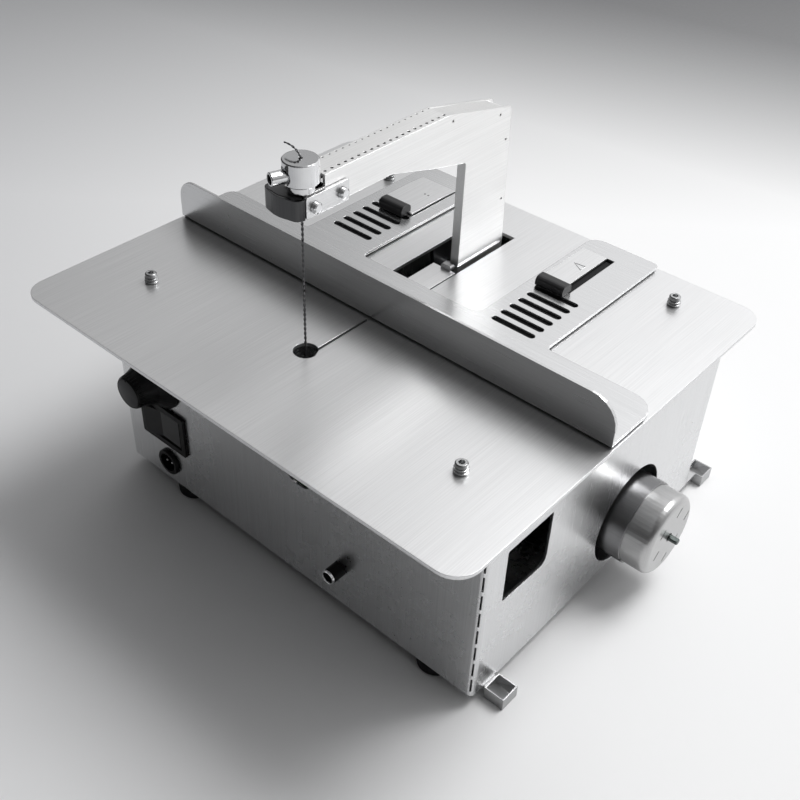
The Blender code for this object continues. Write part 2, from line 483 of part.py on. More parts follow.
def make_pivot_and_drive():
    """Pivot shaft on its brackets, connecting rod, crank, drive shaft and motor."""
    shaft = [(121.0, 0), (121.0, 3.5), (121.5, PIVOT_RADIUS), (161.5, PIVOT_RADIUS), (162.0, 3.5), (162.0, 0)]
    piece("pivot_shaft", turned("X", (PIVOT_Y, PIVOT_Z), shaft, 24), "root", "brushed_steel")
    top = -TABLE_THICK - GAP
    bore = circle(PIVOT_Y, PIVOT_Z, PIVOT_RADIUS + GAP, 24)
    cheek = fillet([(192.0, top, 0), (218.0, top, 0), (214.0, -33.0, 8), (196.0, -33.0, 8)])
    for name, x0, flange in (("pivot_bracket_left", 122.0, (102.0, 122.5)),
                             ("pivot_bracket_right", 158.5, (160.5, 181.0))):
        foot = box(flange[0], 192.0, top - 2.5, flange[1], 218.0, top)
        piece(name, prism("X", x0, x0 + 2.5, cheek, bore), "root", "dark_steel", add=[foot])

    rod_low, rod_high = 131.5, 136.5
    rod = fillet([(ROD_Y - 7, MOTOR_Z - 7, 6.9), (ROD_Y + 7, MOTOR_Z - 7, 6.9), (ROD_Y + 6, ROD_TOP_Z + 6, 5.9),
                  (ROD_Y - 6, ROD_TOP_Z + 6, 5.9)], 5)
    piece("connecting_rod", prism("X", rod_low, rod_high, rod, circle(ROD_Y, ROD_TOP_Z, 2.8, 16),
                                  circle(ROD_Y, MOTOR_Z, 3.3, 20)), "rod", "brushed_steel")
    pin = [(130.0, 0), (130.0, 3.6), (131.2, 3.6), (131.2, 3.0), (DISC_FACE - GAP, 3.0), (DISC_FACE - GAP, 0)]
    piece("crank_pin", turned("X", (ROD_Y, MOTOR_Z), pin, 20), "rod", "dark_steel")
    drive = [(129.6, 0), (129.6, 3.4), (131.2, 3.4), (131.2, 2.5), (153.5, 2.5), (153.5, 0)]
    piece("drive_pin", turned("X", (ROD_Y, ROD_TOP_Z), drive, 16), "arm", "dark_steel")
    disc = [(DISC_FACE, 0), (DISC_FACE, 13.5), (DISC_FACE + 0.5, 14.0), (145.5, 14.0), (146.0, 13.5), (146.0, 0)]
    piece("crank_disc", turned("X", (MOTOR_Y, MOTOR_Z), disc, 32), "crank", "brushed_steel")
    axle = [(146.3, 0), (146.3, 4.0), (230.7, 4.0), (230.7, 0)]
    piece("drive_shaft", turned("X", (MOTOR_Y, MOTOR_Z), axle, 20), "crank", "brushed_steel")
    collar = [(222.0, 4.3), (236.0, 4.3), (236.0, 9.0), (222.0, 9.0)]
    piece("shaft_coupling", turned("X", (MOTOR_Y, MOTOR_Z), collar, 24, True), "crank", "dark_steel")
    deck = HOUSE_BOTTOM + 2.0
    bearing = fillet([(MOTOR_Y - 16, deck, 0), (MOTOR_Y + 16, deck, 0), (MOTOR_Y + 12, -80.0, 8),
                      (MOTOR_Y - 12, -80.0, 8)])
    piece("bearing_block", prism("X", 160.0, 172.0, bearing, circle(MOTOR_Y, MOTOR_Z, 4.4, 24)), "root",
          "dark_steel")

    mount = fillet([(MOTOR_Y - 30, deck, 0), (MOTOR_Y + 30, deck, 0), (MOTOR_Y + 26, -70.0, 10),
                    (MOTOR_Y - 26, -70.0, 10)])
    piece("motor_mount", prism("X", 238.0, 240.5, mount, circle(MOTOR_Y, MOTOR_Z, 9.4, 24)), "root",
          "dark_steel", add=[box(238.5, MOTOR_Y - 30, deck, 252.0, MOTOR_Y - 25.5, deck + 2.2)])
    face = [(241.0, 3.2), (243.6, 3.2), (243.6, 23.0), (241.0, 23.0)]
    piece("motor_face", turned("X", (MOTOR_Y, MOTOR_Z), face, 32, True), "root", "motor_zinc")
    corner = [(MOTOR_END - CAN_CORNER * (1 - math.sin(a)), MOTOR_RADIUS - CAN_CORNER * (1 - math.cos(a)))
              for a in (math.radians(15 * k) for k in range(7))]
    can = [(244.0, MOTOR_RADIUS), *corner, (MOTOR_END, 2.6), (MOTOR_END - 1.5, 2.6),
           (MOTOR_END - 1.5, MOTOR_RADIUS - 4.0), (MOTOR_END - 4.0, MOTOR_RADIUS - 1.5),
           (244.0, MOTOR_RADIUS - 1.5)]
    vents = []
    for dy, dz in ((5.8, 14.1), (16.4, 4.4), (-11.3, -6.0), (-0.1, -15.7), (-9.1, 8.3), (9.0, -8.0)):
        centre = (MOTOR_Y + dy, MOTOR_Z + dz)
        vent = prism("X", MOTOR_END - 3, MOTOR_END + 1, rect(centre[0] - 3, centre[1] - 0.5, centre[0] + 3,
                                                             centre[1] + 0.5))
        vents.append(rotated(vent, (MOTOR_END, *centre), "X", 45))
    piece("motor_can", turned("X", (MOTOR_Y, MOTOR_Z), can, 64, True), "root", "motor_zinc", cut=vents)
    rotor = [(231.3, 0), (231.3, 2.5), (252.0, 2.5), (252.0, 19.0), (300.0, 19.0), (300.0, 1.9),
             (SHAFT_TIP - 0.4, 1.9), (SHAFT_TIP, 1.5), (SHAFT_TIP, 0)]
    piece("motor_rotor", turned("X", (MOTOR_Y, MOTOR_Z), rotor, 24), "crank", "dark_steel",
          cut=[box(MOTOR_END + 1, MOTOR_Y - 4, MOTOR_Z + 1.2, SHAFT_TIP + 1, MOTOR_Y + 4, MOTOR_Z + 4)])


def make_controls():
    """Speed knob and potentiometer, rocker switch, power inlet, fuse holder and speed board."""
    wall = HOUSE_FRONT - GAP
    knob = [(20.0, 0), (20.0, 8.9), (20.8, 9.6), (24.0, 10.0), (32.0, 12.6), (37.0, 17.2), (38.6, 18.9),
            (wall, 19.3), (wall, 3.3), (30.0, 3.3), (30.0, 0)]
    marker = box(KNOB_X - 0.7, 19.0, KNOB_Z + 2.0, KNOB_X + 0.7, 20.8, KNOB_Z + 9.0)
    piece("speed_knob", turned("Y", (KNOB_X, KNOB_Z), knob, 40), "knob", "black_plastic", cut=[marker])
    pot = [(30.6, 0), (30.6, 2.9), (HOUSE_FRONT + SHEET + GAP, 2.9), (HOUSE_FRONT + SHEET + GAP, 8.0), (54.0, 8.0),
           (54.0, 0)]
    piece("speed_pot", turned("Y", (KNOB_X, KNOB_Z), pot, 24), "root", "brushed_steel")

    x, z = SWITCH_X, SWITCH_Z
    bezel = prism("Y", 38.6, wall, rounded_rect(x - SWITCH_WIDE / 2, z - SWITCH_HIGH / 2, x + SWITCH_WIDE / 2,
                                                z + SWITCH_HIGH / 2, 1.2, 3))
    cell = box(x - 16.6, wall - 0.5, z - 11.6, x + 16.6, 60.0, z + 11.6)
    well = box(x - 15.8, 37.0, z - 10.2, x + 15.8, 54.0, z + 10.2)
    piece("switch_body", bezel, "root", "black_plastic", add=[cell], cut=[well])
    rocker = [(x - 13.4, 36.4), (x - 12.8, 36.0), (x - 1.5, 39.4), (x + 14.4, 39.2), (x + 14.0, 42.0),
              (x + 3.5, 49.0), (x - 3.5, 49.0), (x - 13.0, 41.5)]
    piece("switch_rocker", prism("Z", z - 9.7, z + 9.7, rocker), "rocker", "black_plastic")

    inlet = [(38.2, 6.0), (38.2, 7.9), (38.8, 8.5), (wall, 8.5), (wall, 6.5), (56.0, 6.5), (56.0, 0),
             (50.0, 0), (50.0, 6.0)]
    shell = turned("Y", (INLET_X, INLET_Z), [(50.0, 0), (50.0, 6.0)] + inlet[:7], 28)
    pins = [turned("Y", (INLET_X + side, INLET_Z), [(44.0, 0), (44.0, 0.9), (51.0, 0.9), (51.0, 0)], 10)
            for side in (-2.2, 2.2)]
    piece("power_inlet", shell, "root", "black_plastic", add=pins)
    fuse = [(33.0, 0), (33.0, 2.9), (31.6, 3.3), (31.3, 4.0), (31.8, 4.3), (wall, 4.3), (wall, 3.0), (62.0, 3.0),
            (62.0, 0)]
    piece("fuse_holder", turned("Y", (FUSE_X, FUSE_Z), fuse, 24), "root", "black_plastic")
    deck = HOUSE_BOTTOM + 2.0
    piece("speed_board", box(70.0, 62.0, deck, 125.0, 110.0, deck + 1.8), "root", "board",
          add=[box(74.0, 70.0, deck + 1.0, 80.0, 102.0, deck + 22.0),
               turned("Z", (110.0, 80.0), [(deck + 1.0, 0), (deck + 1.0, 7.0), (deck + 18.0, 7.0),
                                           (deck + 18.0, 0)], 20)])


def make_fence():
    """Sliding fence with two tongues, its black liner, and the two spring leaves with their grips."""
    tongues = ((64.0, 108.0, 71.0, 99.9, 165.3, 8.2, 5), (190.5, 234.5, 197.5, 224.7, 152.8, 7.75, 6))
    slots = []
    for _, _, x0, x1, first, pitch, count in tongues:
        slots += [slot(x0, first + pitch * k - 2.1, x1, first + pitch * k + 2.1) for k in range(count)]
    leaf_left = rect(72.0, 202.0, 99.4, LEAF_ROOT)
    leaf_right = [(193.0, 198.8), (214.3, 198.8), (214.3, LEAF_ROOT), (193.0, LEAF_ROOT)]
    outline = fillet([(0, FENCE_Y, 0), (TABLE_WIDTH - 1, FENCE_Y, 0), (TABLE_WIDTH - 1, FLANGE_BACK, 12),
                      (tongues[1][1], FLANGE_BACK, 3), (tongues[1][1], TONGUE_END, 3),
                      (tongues[1][0], TONGUE_END, 8), (tongues[1][0], FLANGE_BACK, 6),
                      (tongues[0][1], FLANGE_BACK, 3), (tongues[0][1], TONGUE_END, 3),
                      (tongues[0][0], TONGUE_END, 3), (tongues[0][0], FLANGE_BACK, 3), (0, FLANGE_BACK, 6)], 4)
    flange = prism("Z", FENCE_LOW, FENCE_LOW + SHEET, outline, leaf_left, leaf_right, *slots)
    face = fillet([(0, FENCE_LOW, 0), (TABLE_WIDTH - 1, FENCE_LOW, 0), (TABLE_WIDTH - 1, FENCE_TOP, 15),
                   (0, FENCE_TOP, 12)], 6)
    piece("fence", prism("Y", FENCE_Y, FENCE_Y + SHEET, face), "fence", "fence_steel", add=[flange])
    inset = 0.8
    liner = [(inset, FENCE_Y + inset), (TABLE_WIDTH - 1 - inset, FENCE_Y + inset),
             (TABLE_WIDTH - 1 - inset, 138.0), (TABLE_WIDTH - 12, FLANGE_BACK - inset)]
    for x0, x1 in ((tongues[1][0], tongues[1][1]), (tongues[0][0], tongues[0][1])):
        liner += [(x1 - inset, FLANGE_BACK - inset), (x1 - inset, TONGUE_END - 3), (x0 + inset + 2, TONGUE_END - 3),
                  (x0 + inset, TONGUE_END - 6), (x0 + inset, FLANGE_BACK - inset)]
    liner += [(inset, FLANGE_BACK - inset)]
    piece("fence_liner", prism("Z", GAP, FENCE_LOW - GAP, liner), "fence", "rubber")
    sides = (("left", 72.4, 98.6, 202.4, 3.2), ("right", 193.3, 209.4, 199.2, 2.4))
    for name, x0, x1, front, height in sides:
        root = LEAF_ROOT - 0.3
        path = [(front, height), (root - 14, height), (root, FENCE_LOW + SHEET / 2 + 0.5)]
        piece(f"leaf_{name}", prism("X", x0, x1, ribbon([(y, z + SHEET / 2) for y, z in path], 1.2)),
              f"leaf_{name}", "brushed_steel")
        grip_x0, grip_x1 = (x0 + 6.2, x1 - 2.2) if name == "left" else (x0 + 2.7, x1 + 4.5)
        low = height + SHEET / 2 + GAP
        under = FENCE_LOW + SHEET + GAP
        grip = prism("X", grip_x0, grip_x1, fillet([(front - 7.0, under, 1.2), (front - GAP, under, 0),
                                                    (front - GAP, low, 0), (front + 1.6, low, 0),
                                                    (front + 1.6, low + 5.2, 2.6), (front - 7.0, low + 5.2, 3.0)]))
        piece(f"grip_{name}", grip, f"leaf_{name}", "rubber")


def main():
    """Clear the scene and build every piece."""
    for old in list(bpy.data.objects):
        bpy.data.objects.remove(old)
    AXES.update(bodies())
    make_table()
    make_housing()
    make_arm()
    make_pivot_and_drive()
    make_controls()
    make_fence()


AXES = {}
main()
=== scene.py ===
"""Looks of the bench scroll saw: finishes, small fittings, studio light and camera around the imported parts.

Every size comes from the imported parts, in metres, with +X to the right, +Y to the back and +Z up.
"""
import logging
import math
from dataclasses import dataclass, field
from enum import Enum
from typing import Callable, ClassVar, Iterable, Sequence

import bmesh
import bpy
from mathutils import Matrix, Vector


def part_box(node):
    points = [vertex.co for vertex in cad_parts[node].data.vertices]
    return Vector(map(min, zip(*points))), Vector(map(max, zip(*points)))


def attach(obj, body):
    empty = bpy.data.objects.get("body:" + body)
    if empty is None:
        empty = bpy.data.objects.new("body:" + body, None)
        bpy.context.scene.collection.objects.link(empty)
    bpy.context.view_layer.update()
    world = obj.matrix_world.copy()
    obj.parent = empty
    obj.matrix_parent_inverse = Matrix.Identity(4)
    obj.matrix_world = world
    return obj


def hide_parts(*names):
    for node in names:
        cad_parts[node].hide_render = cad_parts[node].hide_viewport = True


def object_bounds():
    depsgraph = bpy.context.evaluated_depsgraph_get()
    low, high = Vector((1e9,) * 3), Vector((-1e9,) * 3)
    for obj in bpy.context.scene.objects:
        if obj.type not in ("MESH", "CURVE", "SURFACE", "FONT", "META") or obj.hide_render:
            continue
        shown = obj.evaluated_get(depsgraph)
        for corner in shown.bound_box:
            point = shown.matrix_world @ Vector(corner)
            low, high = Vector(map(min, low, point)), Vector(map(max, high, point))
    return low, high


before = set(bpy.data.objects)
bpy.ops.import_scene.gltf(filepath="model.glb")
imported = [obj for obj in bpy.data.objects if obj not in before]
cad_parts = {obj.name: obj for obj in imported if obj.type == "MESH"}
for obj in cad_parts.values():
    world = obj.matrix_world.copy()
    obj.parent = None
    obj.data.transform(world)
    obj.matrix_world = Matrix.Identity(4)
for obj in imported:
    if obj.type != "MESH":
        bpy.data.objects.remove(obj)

MM = 0.001
FULL_TURN = 2 * math.pi
WELD = 1e-7
ORIGIN = Vector((0.0, 0.0, 0.0))
SLANT = Vector((0.31, 0.94, 0.12))
CAD_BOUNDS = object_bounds()
LOG = logging.getLogger("scroll_saw")


class Axis(Enum):
    """The three axes, as indices into a vector."""

    X = 0
    Y = 1
    Z = 2

    def point(self, level: float, first: float, second: float) -> Vector:
        """Point from its place along this axis and across it.

        Args:
            level: Place along the axis.
            first: Place along the earlier of the two other axes.
            second: Place along the later one.

        Returns:
            The point.
        """
        values = [first, second]
        values.insert(self.value, level)
        return Vector(values)


class Body(Enum):
    """Bodies that the new pieces ride on."""

    HOUSING = "housing"
    ARM = "arm"
    LEAF_LEFT = "leaf_left"
    LEAF_RIGHT = "leaf_right"
    KNOB = "knob"


class Slot(Enum):
    """Material slots of the record that new pieces take."""

    CHROME = "chrome"
    DARK_STEEL = "dark_steel"
    MOTOR_ZINC = "motor_zinc"
    BLACK_PLASTIC = "black_plastic"
    LEAF_STEEL = "leaf_steel"
    WHITE_SHEET = "white_sheet"
    RUBBER = "rubber"


# ------------------------------------------------------------------ finishes


class Graph:
    """Short-hand for wiring one material's nodes."""

    def __init__(self, name: str) -> None:
        """Start a material with an empty Principled shader.

        Args:
            name: The material's name.
        """
        self.material = bpy.data.materials.new(name)
        self.material.use_nodes = True
        self.tree = self.material.node_tree
        self.shader = self.tree.nodes["Principled BSDF"]
        self.coords = self.node("ShaderNodeTexCoord").outputs["Object"]

    def node(self, kind: str, **values: object) -> bpy.types.Node:
        """Add a node and set its sockets or properties.

        Args:
            kind: Blender's node type.
            **values: Socket names (spaces as underscores) or node properties.

        Returns:
            The new node.
        """
        made = self.tree.nodes.new(kind)
        for key, value in values.items():
            if hasattr(made, key) and key not in made.inputs:
                setattr(made, key, value)
            else:
                made.inputs[key.replace("_", " ")].default_value = value
        return made

    def join(self, output: bpy.types.NodeSocket, target: bpy.types.NodeSocket) -> None:
        """Link an output to an input."""
        self.tree.links.new(output, target)

    def stretched(self, scale: Sequence[float]) -> bpy.types.NodeSocket:
        """Object coordinates stretched by three factors.

        Args:
            scale: Factors along X, Y and Z.

        Returns:
            The stretched vector.
        """
        mapping = self.node("ShaderNodeMapping")
        mapping.inputs["Scale"].default_value = scale
        self.join(self.coords, mapping.inputs["Vector"])
        return mapping.outputs["Vector"]

    def noise(self, scale: Sequence[float], detail: float, rough: float) -> bpy.types.NodeSocket:
        """Noise over stretched coordinates.

        Args:
            scale: Cycles for each metre along X, Y and Z.
            detail: Octaves.
            rough: Weight of the fine octaves.

        Returns:
            The noise value.
        """
        texture = self.node("ShaderNodeTexNoise", Scale=1.0, Detail=detail, Roughness=rough)
        self.join(self.stretched(scale), texture.inputs["Vector"])
        return texture.outputs["Fac"]

    def ranged(self, value: bpy.types.NodeSocket, low: float, high: float, to_low: float,
               to_high: float) -> bpy.types.NodeSocket:
        """Map a value's range to another, clamped.

        Args:
            value: The value to map.
            low: Start of its range.
            high: End of its range.
            to_low: Result at the start.
            to_high: Result at the end.

        Returns:
            The mapped value.
        """
        mapped = self.node("ShaderNodeMapRange", From_Min=low, From_Max=high, To_Min=to_low, To_Max=to_high)
        self.join(value, mapped.inputs["Value"])
        return mapped.outputs["Result"]

    def blend(self, factor: bpy.types.NodeSocket, first: object, second: object) -> bpy.types.NodeSocket:
        """Mix two colours.

        Args:
            factor: Share of the second.
            first: A colour or a socket.
            second: A colour or a socket.

        Returns:
            The mixed colour.
        """
        mix = self.node("ShaderNodeMix", data_type="RGBA")
        self.join(factor, mix.inputs[0])
        for socket, value in ((mix.inputs[6], first), (mix.inputs[7], second)):
            if isinstance(value, bpy.types.NodeSocket):
                self.join(value, socket)
            else:
                socket.default_value = (*value, 1.0)
        return mix.outputs[2]

    def math(self, kind: str, first: object, second: object) -> bpy.types.NodeSocket:
        """One arithmetic step.

        Args:
            kind: The operation.
            first: A number or a socket.
            second: A number or a socket.

        Returns:
            The result.
        """
        step = self.node("ShaderNodeMath", operation=kind)
        for socket, value in zip(step.inputs, (first, second)):
            if isinstance(value, bpy.types.NodeSocket):
                self.join(value, socket)
            else:
                socket.default_value = value
        return step.outputs[0]

    def bump(self, heights: Iterable[tuple[bpy.types.NodeSocket, float, float]], edge: float = 0.0) -> None:
        """Stack bumps on the shader's normal.

        Args:
            heights: Height value, strength and distance in metres of each bump.
            edge: Radius of softened edges, in metres.
        """
        normal = None
        if edge > 0.0:
            soft = self.node("ShaderNodeBevel", samples=4, Radius=edge)
            normal = soft.outputs["Normal"]
        for height, strength, distance in heights:
            step = self.node("ShaderNodeBump", Strength=strength, Distance=distance)
            self.join(height, step.inputs["Height"])
            if normal is not None:
                self.join(normal, step.inputs["Normal"])
            normal = step.outputs["Normal"]
        if normal is not None:
            self.join(normal, self.shader.inputs["Normal"])


GRAIN_DEPTH = 0.1 * MM


@dataclass(frozen=True)
class Finish:
    """Base of every finish: a name, a colour and how it shines."""

    name: str
    colour: tuple[float, float, float]
    roughness: float
    metallic: float = 1.0

    def start(self) -> Graph:
        """Graph with the shader set as metal or not."""
        graph = Graph(self.name)
        graph.shader.inputs["Metallic"].default_value = self.metallic
        return graph

    def shade(self, factor: float) -> tuple[float, ...]:
        """The finish's colour, darker or lighter, and never past white.

        Args:
            factor: What every channel is multiplied by.

        Returns:
            The colour.
        """
        return tuple(min(1.0, channel * factor) for channel in self.colour)

    def build(self) -> bpy.types.Material:
        """Material of this finish."""
        raise NotImplementedError


def lay_along(axis: Axis, along: float, crosswise: float) -> list[float]:
    """Scales of a pattern that is long in one direction.

    Args:
        axis: The long direction.
        along: Cycles for each metre along it.
        crosswise: Cycles for each metre across it.

    Returns:
        Three factors.
    """
    scale = [crosswise] * 3
    scale[axis.value] = along
    return scale


@dataclass(frozen=True)
class Brushed(Finish):
    """Rolled or brushed sheet: a long grain, smudges that dull it, and a few fine scratches.

    Grain, scratches, smudges and fine mottle are counted in cycles for each metre.
    """

    grain: Axis = Axis.X
    grain_bump: float = 0.06
    smudge: float = 0.08
    dirt: float = 0.06
    edge: float = 0.0004
    grain_across: float = 2600.0
    grain_along: float = 18.0
    scratch_across: float = 1700.0
    scratch_along: float = 45.0
    smudge_scale: float = 9.0
    mottle_scale: float = 160.0
    scratch_bump: float = 0.015
    dent_bump: float = 0.01
    dent_depth: float = 0.6 * MM

    def build(self) -> bpy.types.Material:
        """Material of this finish."""
        graph = self.start()
        lines = graph.noise(lay_along(self.grain, self.grain_along, self.grain_across), 2.0, 0.6)
        clouds = graph.noise((self.smudge_scale,) * 3, 4.0, 0.6)
        fine = graph.noise((self.mottle_scale,) * 3, 3.0, 0.6)
        lay = lay_along(self.grain, self.scratch_along, self.scratch_across)
        scratch = graph.ranged(graph.noise(lay, 1.0, 0.4), 0.70, 0.73, 0.0, 1.0)
        tone = graph.ranged(lines, 0.3, 0.7, 0.0, 1.0)
        colour = graph.blend(tone, self.shade(0.93), self.shade(1.05))
        dirty = graph.ranged(clouds, 0.35, 0.75, 0.0, self.dirt)
        colour = graph.blend(dirty, colour, self.shade(0.8))
        graph.join(colour, graph.shader.inputs["Base Color"])
        half = self.smudge / 2
        rough = graph.ranged(clouds, 0.3, 0.7, self.roughness - half, self.roughness + half)
        rough = graph.math("ADD", rough, graph.ranged(fine, 0.4, 0.7, -0.005, 0.005))
        rough = graph.math("ADD", rough, graph.math("MULTIPLY", scratch, 0.06))
        graph.join(rough, graph.shader.inputs["Roughness"])
        graph.bump(((lines, self.grain_bump, GRAIN_DEPTH), (scratch, self.scratch_bump, GRAIN_DEPTH),
                    (clouds, self.dent_bump, self.dent_depth)), self.edge)
        return graph.material


@dataclass(frozen=True)
class Polished(Finish):
    """Turned and polished steel: rings round an axis, faint waviness and pale edges."""

    turned: Axis = Axis.Z
    rings: float = 1500.0
    rings_across: float = 40.0
    wave_scale: float = 60.0
    spot_scale: float = 900.0
    edge: float = 0.0003

    def build(self) -> bpy.types.Material:
        """Material of this finish."""
        graph = self.start()
        lines = graph.noise(lay_along(self.turned, self.rings, self.rings_across), 2.0, 0.5)
        clouds = graph.noise((self.wave_scale,) * 3, 3.0, 0.6)
        spots = graph.ranged(graph.noise((self.spot_scale,) * 3, 2.0, 0.5), 0.68, 0.74, 0.0, 1.0)
        dull = self.shade(0.72)
        colour = graph.blend(graph.ranged(clouds, 0.4, 0.8, 0.0, 0.35), self.colour, dull)
        colour = graph.blend(graph.math("MULTIPLY", spots, 0.35), colour, dull)
        graph.join(colour, graph.shader.inputs["Base Color"])
        rough = graph.ranged(clouds, 0.35, 0.7, self.roughness * 0.7, self.roughness * 1.5)
        rough = graph.math("ADD", rough, graph.math("MULTIPLY", spots, 0.1))
        graph.join(rough, graph.shader.inputs["Roughness"])
        graph.bump(((lines, 0.06, GRAIN_DEPTH), (clouds, 0.04, 0.0004)), self.edge)
        return graph.material


@dataclass(frozen=True)
class Moulded(Finish):
    """Moulded plastic or rubber: fine pebbling, patchy dust and softened edges."""

    pebble: float = 1800.0
    dust_scale: float = 45.0
    specular: float = 0.3
    pebble_bump: float = 0.12
    dust: float = 0.25
    edge: float = 0.0004

    def build(self) -> bpy.types.Material:
        """Material of this finish."""
        graph = self.start()
        graph.shader.inputs["Specular IOR Level"].default_value = self.specular
        pebbles = graph.noise((self.pebble,) * 3, 2.0, 0.5)
        clouds = graph.noise((self.dust_scale,) * 3, 4.0, 0.65)
        worn = tuple(min(1.0, channel + 0.02) for channel in self.colour)
        colour = graph.blend(graph.ranged(clouds, 0.45, 0.8, 0.0, self.dust), self.colour, worn)
        graph.join(colour, graph.shader.inputs["Base Color"])
        rough = graph.ranged(clouds, 0.3, 0.7, self.roughness - 0.05, self.roughness + 0.08)
        graph.join(rough, graph.shader.inputs["Roughness"])
        graph.bump(((pebbles, self.pebble_bump, GRAIN_DEPTH), (clouds, 0.05, 0.0003)), self.edge)
        return graph.material


@dataclass(frozen=True)
class Board(Finish):
    """Coated circuit board: copper tracks under green lacquer."""

    def build(self) -> bpy.types.Material:
        """Material of this finish."""
        graph = self.start()
        tracks = graph.ranged(graph.noise((500.0, 40.0, 200.0), 0.0, 0.0), 0.5, 0.52, 0.0, 1.0)
        graph.join(graph.blend(tracks, self.colour, self.shade(1.8)), graph.shader.inputs["Base Color"])
        graph.join(graph.ranged(tracks, 0.0, 1.0, self.roughness, self.roughness - 0.15),
                   graph.shader.inputs["Roughness"])
        graph.bump(((tracks, 0.3, 0.00005),))
        return graph.material


@dataclass(frozen=True)
class FloorWithPaintedShade(Finish):
    """Pale studio floor with painted shade: a painted shadow greys it a little in front and to the left,
    painted falloff greys it far back left and darkest straight behind.
    """

    BACK_LEFT: ClassVar[tuple[float, float]] = (-0.64, 0.77)
    BACK_RIGHT: ClassVar[tuple[float, float]] = (0.75, 0.66)

    # Colours of the painted shade: far back left, the painted shadow in front and to the left, and the
    # darkest straight behind.
    behind: tuple[float, float, float] = (0.30, 0.303, 0.31)
    beside: tuple[float, float, float] = (0.62, 0.624, 0.635)
    corner: tuple[float, float, float] = (0.12, 0.121, 0.125)

    def build(self) -> bpy.types.Material:
        """Material of this finish."""
        graph = self.start()
        split = graph.node("ShaderNodeSeparateXYZ")
        graph.join(graph.coords, split.inputs["Vector"])
        away, beside = (
            graph.math("ADD", graph.math("MULTIPLY", split.outputs["X"], right),
                       graph.math("MULTIPLY", split.outputs["Y"], back))
            for right, back in (self.BACK_LEFT, self.BACK_RIGHT))
        # Painted shadow in front and to the left.
        colour = graph.blend(graph.ranged(beside, 0.10, -0.45, 0.0, 1.0), self.colour, self.beside)
        # Painted shade far back left.
        colour = graph.blend(graph.ranged(away, 0.34, 0.95, 0.0, 1.0), colour, self.behind)
        # Darkest painted shade, straight behind.
        corner = graph.math("ADD", away, graph.math("MULTIPLY", beside, 0.6))
        colour = graph.blend(graph.ranged(corner, 0.60, 1.05, 0.0, 0.75), colour, self.corner)
        graph.join(colour, graph.shader.inputs["Base Color"])
        grain = graph.noise((220.0, 220.0, 220.0), 3.0, 0.6)
        graph.join(graph.ranged(grain, 0.3, 0.7, self.roughness - 0.05, self.roughness + 0.05),
                   graph.shader.inputs["Roughness"])
        return graph.material


